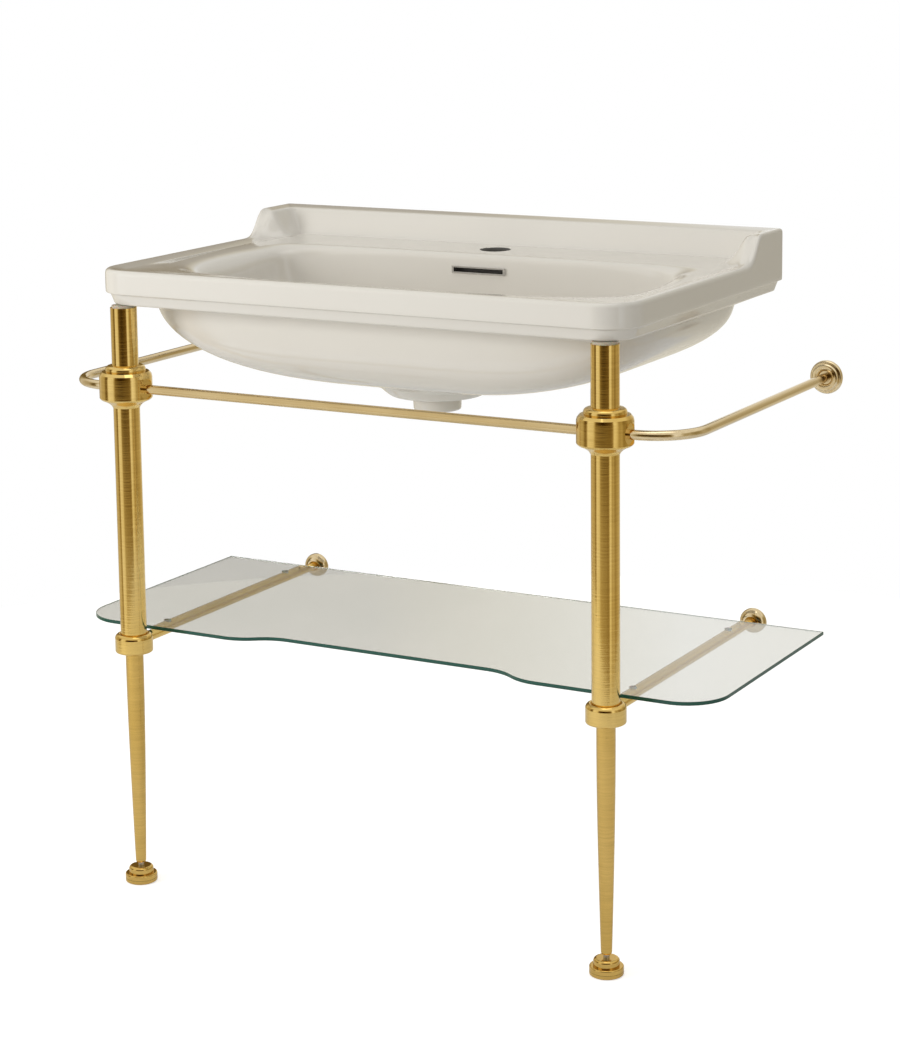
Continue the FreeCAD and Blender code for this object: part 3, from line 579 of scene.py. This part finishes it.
def ring_mesh(name, rings):
    """A closed mesh of quads through rings of equal counts, the last joined to the first."""
    count = len(rings[0])
    points = np.concatenate(rings) / MM_PER_M
    faces = []
    for row in range(len(rings)):
        here = row * count
        there = (row + 1) % len(rings) * count
        for i in range(count):
            j = (i + 1) % count
            faces.append((here + i, here + j, there + j, there + i))
    return mesh_object(name, points, faces)


def outward(obj):
    """Turns all faces outwards."""
    work = bmesh.new()
    work.from_mesh(obj.data)
    bmesh.ops.recalc_face_normals(work, faces=work.faces)
    work.to_mesh(obj.data)
    work.free()


def smooth(obj, degrees=40):
    """Smooth shading, except across edges sharper than this."""
    obj.data.shade_smooth()
    obj.data.set_sharp_from_angle(angle=math.radians(degrees))


def bake_modifiers(obj):
    """Replaces the mesh by what its modifiers make of it."""
    graph = bpy.context.evaluated_depsgraph_get()
    mesh = bpy.data.meshes.new_from_object(obj.evaluated_get(graph))
    obj.modifiers.clear()
    obj.data = mesh


def soft_box(name, low, high, radius):
    """A box with rounded edges, in millimetres."""
    work = bmesh.new()
    bmesh.ops.create_cube(work, size=1)
    size = [(b - a) / MM_PER_M for a, b in zip(low, high)]
    middle = [(a + b) / (2 * MM_PER_M) for a, b in zip(low, high)]
    bmesh.ops.scale(work, vec=size, verts=work.verts)
    bmesh.ops.translate(work, vec=middle, verts=work.verts)
    bmesh.ops.bevel(work, geom=work.edges[:], offset=radius / MM_PER_M, segments=3,
                    profile=0.5, affect="EDGES")
    return worked_object(name, work)


def turned_object(name, profile, place, tilt, segments):
    """A closed solid turned about its own axis, from (radius, height) points in millimetres.

    The axis is vertical at place, and then tilted about X.
    """
    work = bmesh.new()
    verts = [work.verts.new((radius / MM_PER_M, 0, z / MM_PER_M)) for radius, z in profile]
    edges = [work.edges.new((a, b)) for a, b in zip(verts, verts[1:])]
    bmesh.ops.spin(work, geom=verts + edges, axis=(0, 0, 1), cent=(0, 0, 0),
                   dvec=(0, 0, 0), angle=2 * math.pi, steps=segments, use_merge=True)
    bmesh.ops.remove_doubles(work, verts=work.verts, dist=1e-6)
    bmesh.ops.recalc_face_normals(work, faces=work.faces)
    turn = Matrix.Rotation(tilt, 4, "X")
    move = Matrix.Translation([c / MM_PER_M for c in place])
    bmesh.ops.transform(work, matrix=move @ turn, verts=work.verts)
    return worked_object(name, work)


def cut(obj, tools, operation="DIFFERENCE"):
    """Cuts the tools out of obj, or joins them on, and removes them."""
    for tool in tools:
        modifier = obj.modifiers.new("cut", "BOOLEAN")
        modifier.operation = operation
        modifier.solver = "EXACT"
        modifier.object = tool
    bake_modifiers(obj)
    for tool in tools:
        bpy.data.objects.remove(tool)


def tap_hole_tool():
    """What is taken out for the tap hole, with a lip that follows the falling deck."""
    slope = (RIM_Z - BOWL_EDGE_BACK_Z) / (WALL_Y - UPSTAND_FOOT - BOWL_BACK_Y - LIP_R)
    deck_z = BOWL_EDGE_BACK_Z + slope * (TAP_Y - BOWL_BACK_Y - LIP_R)
    lip = [(TAP_HOLE_R + TAP_LIP_R * (1 - math.cos(a)), -TAP_LIP_R + TAP_LIP_R * math.sin(a))
           for a in np.linspace(0, math.pi / 2, 8)]
    mouth_r = TAP_HOLE_R + TAP_LIP_R + 0.2
    profile = [(0, -60), (TAP_HOLE_R, -60)] + lip + [(mouth_r, 8), (0, 8)]
    return turned_object("tap_tool", profile, (0, TAP_Y, deck_z), math.atan(slope), 96)


def bolt_hole_tool(side):
    """A rod from the pocket out through the basin's back."""
    profile = [(0, -30), (WALL_BOLT_HOLE_R, -30), (WALL_BOLT_HOLE_R, 30), (0, 30)]
    place = (side * WALL_BOLT_X, 250, WALL_BOLT_Z)
    return turned_object("bolt_tool", profile, place, math.pi / 2, 32)


def pocket_tool(side_name, side):
    """The room behind a bolt hole for its nut."""
    x = side * WALL_BOLT_X
    low = (x - POCKET_HALF_WIDTH, POCKET_FRONT_Y, POCKET_LOW_Z)
    high = (x + POCKET_HALF_WIDTH, POCKET_BACK_Y, POCKET_TOP_Z)
    return soft_box(side_name + "_pocket", low, high, 4)


def slot_tool():
    """The overflow's opening, from the bowl's wall into the rib behind it."""
    low = (-OVERFLOW_HALF_WIDTH, SLOT_FRONT_Y, OVERFLOW_Z - OVERFLOW_HALF_HEIGHT)
    high = (OVERFLOW_HALF_WIDTH, SLOT_BACK_Y, OVERFLOW_Z + OVERFLOW_HALF_HEIGHT)
    return soft_box("slot_tool", low, high, 1.5)


def shaded_by_hole(centre):
    """Whether a face with this centre is inside the tap hole or the overflow slot."""
    x, y, z = centre * MM_PER_M
    in_tap_hole = (math.hypot(x, y - TAP_Y) < TAP_HOLE_R + TAP_LIP_R - 0.4
                   and TAP_BAY_TOP_Z + 0.5 < z < RIM_Z - 1)
    in_slot = (abs(x) < OVERFLOW_HALF_WIDTH + 0.5
               and BOWL_BACK_Y + 3 < y < SLOT_BACK_Y + 1
               and abs(z - OVERFLOW_Z) < OVERFLOW_HALF_HEIGHT + 1)
    return in_tap_hole or in_slot


def clay_and_painted_shade():
    """Unglazed clay, painted near black as the shade inside a hole."""
    material, tree, shader = new_material("clay_and_painted_shade")
    grit = object_noise(tree, (500, 500, 500))
    # painted shade: these tones are far darker than bare clay, and stand in for the shadow in the
    # hole
    tone = mix_colour(tree, grit, (0.10, 0.095, 0.088), (0.06, 0.057, 0.052))
    tree.links.new(tone, shader.inputs["Base Color"])
    shader.inputs["Roughness"].default_value = 0.7
    return material


def make_basin(material):
    """The ceramic basin as one smooth mesh, in place of its solid."""
    basin = ring_mesh("ceramic_basin", basin_rings())
    outward(basin)
    subdivide = basin.modifiers.new("soft", "SUBSURF")
    subdivide.levels = 1
    subdivide.render_levels = 1
    bake_modifiers(basin)
    tap_bay = soft_box("bay_tool", (-TAP_BAY_HALF_WIDTH, TAP_BAY_FRONT_Y, TAP_BAY_FLOOR_Z),
                       (TAP_BAY_HALF_WIDTH, TAP_BAY_BACK_Y, TAP_BAY_TOP_Z), 6)
    cut(basin, [tap_bay] + [pocket_tool(side_name, side) for side_name, side in SIDES])
    cut(basin, [
        soft_box("back_rib", *BACK_RIB, RIB_EDGE_R),
        soft_box("run_rib", *RUN_RIB, RIB_EDGE_R),
    ], "UNION")
    bolt_holes = [bolt_hole_tool(side) for _, side in SIDES]
    cut(basin, [tap_hole_tool(), slot_tool()] + bolt_holes)
    smooth(basin)
    basin.data.materials.clear()
    basin.data.materials.append(material)
    basin.data.materials.append(clay_and_painted_shade())
    # faces inside the tap hole and the overflow slot take the clay painted dark as their shade
    for face in basin.data.polygons:
        if shaded_by_hole(face.center):
            face.material_index = 1
    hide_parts("basin")
    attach(basin, "stand")


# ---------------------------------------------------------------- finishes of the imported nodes

# The fine marks of the brass, as features to a metre: turned rings round a leg, lines along a
# rail or an arm, and rings round a wall rosette.
ROUND_LEG = (25, 25, 420)
ALONG_X = (14, 500, 500)
ALONG_Y = (500, 14, 500)
ROUND_ROSETTE = (90, 500, 90)
UNPOLISHED = (60, 60, 60)

GOLD = ((0.90, 0.66, 0.25), (0.82, 0.57, 0.17))
FOOT_GOLD = ((0.80, 0.55, 0.18), (0.70, 0.46, 0.12))
ARM_GOLD = ((0.97, 0.70, 0.24), (0.90, 0.62, 0.18))
# The front rail is of the same brass as the side rails; its tones are a darker copy of theirs,
# painted shade.
FRONT_RAIL_GOLD_PAINTED_SHADE = ((0.76, 0.60, 0.34), (0.66, 0.50, 0.25))
PALE_GOLD = ((0.88, 0.75, 0.52), (0.82, 0.68, 0.44))
RAW_GOLD = ((0.70, 0.50, 0.22), (0.6, 0.42, 0.18))


def finish_nodes(finishes):
    """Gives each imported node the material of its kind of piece."""
    for name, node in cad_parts.items():
        kind = name.rsplit("_", 1)[0] if name.endswith(("_left", "_right")) else name
        node.data.materials.clear()
        node.data.materials.append(finishes[kind])


def make_finishes():
    """The material of each kind of piece, by its name without the side."""
    leg = brass("leg_brass", *GOLD, ROUND_LEG, 0.11, 0.00009)
    foot = brass("foot_brass", *FOOT_GOLD, ROUND_LEG, 0.11, 0.00009)
    rail_x_painted_shade = brass("rail_brass_across_painted_shade", *FRONT_RAIL_GOLD_PAINTED_SHADE, ALONG_X, 0.11, 0.00005)
    arm = brass("arm_brass", *ARM_GOLD, ALONG_Y, 0.2, 0.00005)
    rail_y = brass("rail_brass_along", *PALE_GOLD, ALONG_Y, 0.14, 0.00005)
    rose = brass("rose_brass", *PALE_GOLD, ROUND_ROSETTE, 0.12, 0.00004)
    raw = brass("raw_brass", *RAW_GOLD, UNPOLISHED, 0.3, 0.00005)
    chrome = plain_metal("chrome", (0.85, 0.85, 0.86), 0.06)
    zinc = plain_metal("zinc", (0.62, 0.63, 0.65), 0.3)
    black = rubber()
    soft = soft_plastic("soft_plastic", (0.82, 0.80, 0.75), (0.74, 0.72, 0.67))
    # the pad between leg and basin: a darker copy of the soft plastic, painted as the shade of the
    # basin's underside
    shaded = soft_plastic("pad_plastic_painted_shade", (0.56, 0.51, 0.42), (0.50, 0.455, 0.37))
    return {
        "basin": glaze(),
        "overflow_trim": chrome,
        "front_rail": rail_x_painted_shade,
        "glass_shelf": float_glass(),
        "shelf_bumpers": soft,
        "grub_screws": zinc,
        "leg_pad": shaded,
        "leg_insert": leg,
        "upper_tube": leg,
        "rail_drum": leg,
        "middle_tube": leg,
        "shelf_collar": leg,
        "tapered_leg": foot,
        "foot_stud": zinc,
        "foot_disc": foot,
        "foot_base": foot,
        "foot_pad": black,
        "side_rail": rail_y,
        "rail_flange": rose,
        "rail_socket": raw,
        "shelf_arm": arm,
        "arm_stud": zinc,
        "shelf_flange": rose,
        "shelf_socket": raw,
    }


# ---------------------------------------------------------------- floor, world and lamps

FLOOR_R = 1.7
FLOOR_SIDES = 96
GLOW_TO_THE_EYE = 0.6
GLOW_IN_METAL = 0.1
WHITE = (1, 1, 1)


def seen_glow(tree):
    """How much the floor is lifted to white for the eye. In metal it is lifted less."""
    path = add(tree, "ShaderNodeLightPath")
    eye = add(tree, "ShaderNodeMath", {"operation": "MAXIMUM"})
    tree.links.new(path.outputs["Is Camera Ray"], eye.inputs[0])
    tree.links.new(path.outputs["Is Transmission Ray"], eye.inputs[1])
    in_metal = remap(tree, path.outputs["Is Glossy Ray"], 0, 1, 0, GLOW_IN_METAL)
    glow = add(tree, "ShaderNodeMath", {"operation": "MAXIMUM"})
    tree.links.new(remap(tree, eye.outputs[0], 0, 1, 0, GLOW_TO_THE_EYE), glow.inputs[0])
    tree.links.new(in_metal, glow.inputs[1])
    return glow.outputs[0]


def make_floor():
    """A pale round floor. Beyond its edge the world is as white to the eye as the floor is."""
    edge = [(FLOOR_R * math.cos(a), FLOOR_R * math.sin(a), 0)
            for a in np.linspace(0, 2 * math.pi, FLOOR_SIDES, endpoint=False)]
    floor = mesh_object("floor", edge, [tuple(range(FLOOR_SIDES))])
    material, tree, shader = new_material("pale_floor")
    tone = object_noise(tree, (2, 2, 2))
    tree.links.new(mix_colour(tree, tone, (0.86, 0.86, 0.85), (0.84, 0.84, 0.83)),
                   shader.inputs["Base Color"])
    shader.inputs["Roughness"].default_value = 0.9
    shader.inputs["Specular IOR Level"].default_value = 0.1
    glow = add(tree, "ShaderNodeEmission", Color=(*WHITE, 1))
    tree.links.new(seen_glow(tree), glow.inputs["Strength"])
    both = add(tree, "ShaderNodeAddShader")
    tree.links.new(shader.outputs[0], both.inputs[0])
    tree.links.new(glow.outputs[0], both.inputs[1])
    tree.links.new(both.outputs[0], tree.nodes["Material Output"].inputs["Surface"])
    floor.data.materials.append(material)


# What the metal mirrors around the stand, as (direction in degrees from +X, level). The high
# bands are for rays that run level or climb, and the low ones for rays that fall. The darker
# side is towards the viewer.
HIGH_BANDS = (
    (-180, 0.55), (-162, 0.5), (-152, 0.14), (-144, 0.16), (-137, 0.95), (-112, 0.85), (-102, 0.16),
    (-88, 0.06), (-74, 0.03), (-60, 0.07), (-46, 0.12), (-36, 0.18), (-29, 1.0), (-17, 0.85),
    (-8, 0.42), (4, 0.5), (12, 0.3), (22, 0.34), (40, 0.5), (60, 0.4), (76, 0.62), (108, 0.85),
    (114, 0.95), (121, 0.15), (136, 0.2), (160, 0.7), (180, 0.55),
)
LOW_BANDS = (
    (-180, 0.62), (-162, 0.6), (-152, 0.36), (-144, 0.42), (-136, 0.9), (-114, 0.8), (-104, 0.56),
    (-76, 0.46), (-58, 0.42), (-44, 0.34), (-35, 0.4), (-28, 0.88), (-18, 0.72), (-6, 0.5),
    (6, 0.62), (16, 0.4), (34, 0.46), (60, 0.6), (106, 0.75), (132, 0.6), (180, 0.62),
)
# Heights of a ray's direction between which the high bands turn into the low ones, and the
# high bands into an even ceiling.
LOW_BLEND = (-0.165, -0.24)
CEILING_BLEND = (0.36, 0.62)
CEILING = (0.86, 0.86, 0.86)
# The light that falls on dull surfaces, from the left and from the right.
LEFT_LIGHT = (0.68, 0.67, 0.65)
RIGHT_LIGHT = (0.36, 0.355, 0.34)


def band_ramp(tree, share, bands):
    """The level of the bands at share, which is 0 at -180 degrees and 1 at 180."""
    ramp = add(tree, "ShaderNodeValToRGB", Fac=share)
    stops = ramp.color_ramp.elements
    while len(stops) < len(bands):
        stops.new(0.5)
    for stop, (degrees, level) in zip(stops, bands):
        stop.position = (degrees + 180) / 360
        stop.color = (level, level, level, 1)
    return ramp.outputs["Color"]


def warm_dark(tree, level):
    """A colour of that level, which is white where it is light and brown where it is dark."""
    colour = add(tree, "ShaderNodeCombineColor", Red=level)
    for channel, power in (("Green", 1.22), ("Blue", 1.85)):
        node = add(tree, "ShaderNodeMath", {"operation": "POWER"})
        tree.links.new(level, node.inputs[0])
        node.inputs[1].default_value = power
        tree.links.new(node.outputs[0], colour.inputs[channel])
    return colour.outputs[0]


def make_world():
    """A pale studio: white to the eye, with bands and a dark side that give metal its form."""
    world = bpy.data.worlds.new("studio")
    world.use_nodes = True
    scene.world = world
    tree = world.node_tree
    background = tree.nodes["Background"]
    direction = add(tree, "ShaderNodeTexCoord").outputs["Generated"]
    parts = add(tree, "ShaderNodeSeparateXYZ", Vector=direction)
    turn = add(tree, "ShaderNodeMath", {"operation": "ARCTAN2"})
    tree.links.new(parts.outputs["Y"], turn.inputs[0])
    tree.links.new(parts.outputs["X"], turn.inputs[1])
    share = remap(tree, turn.outputs[0], -math.pi, math.pi, 0, 1)
    low = remap(tree, parts.outputs["Z"], *LOW_BLEND, 0, 1)
    around = mix_colour(tree, low, band_ramp(tree, share, HIGH_BANDS),
                        band_ramp(tree, share, LOW_BANDS))
    overhead = remap(tree, parts.outputs["Z"], *CEILING_BLEND, 0, 1)
    level = mix_colour(tree, overhead, around, CEILING)
    grey = add(tree, "ShaderNodeRGBToBW", Color=level)
    studio = warm_dark(tree, grey.outputs[0])
    path = add(tree, "ShaderNodeLightPath")
    from_side = remap(tree, parts.outputs["X"], -1, 1, 0, 1)
    soft = mix_colour(tree, from_side, LEFT_LIGHT, RIGHT_LIGHT)
    lit = mix_colour(tree, path.outputs["Is Diffuse Ray"], studio, soft)
    shown = mix_colour(tree, path.outputs["Is Camera Ray"], lit, WHITE)
    through = mix_colour(tree, path.outputs["Is Transmission Ray"], shown, WHITE)
    tree.links.new(through, background.inputs["Color"])


def make_lamp(name, place, aim, size, power, in_gloss=True):
    """A soft rectangular lamp, which polished surfaces mirror only where in_gloss is set."""
    data = bpy.data.lights.new(name, "AREA")
    data.shape = "RECTANGLE"
    data.size, data.size_y = size
    data.energy = power
    lamp = bpy.data.objects.new(name, data)
    lamp.location = place
    lamp.visible_glossy = in_gloss
    lamp.rotation_euler = (Vector(aim) - Vector(place)).to_track_quat("-Z", "Y").to_euler()
    scene.collection.objects.link(lamp)


make_camera()
finishes = make_finishes()
finish_nodes(finishes)
make_basin(finishes["basin"])
make_floor()
make_world()
make_lamp("key", (-1.7, -2.3, 1.3), (-0.1, -0.1, 0.7), (0.9, 1.2), 29, False)
make_lamp("fill", (1.0, -2.8, 1.7), (0, 0, 0.7), (1.6, 1.0), 9, False)
make_lamp("top", (0.4, -0.3, 3.0), (0, 0, 0.6), (1.6, 1.2), 6)
scene.view_settings.view_transform = "Standard"
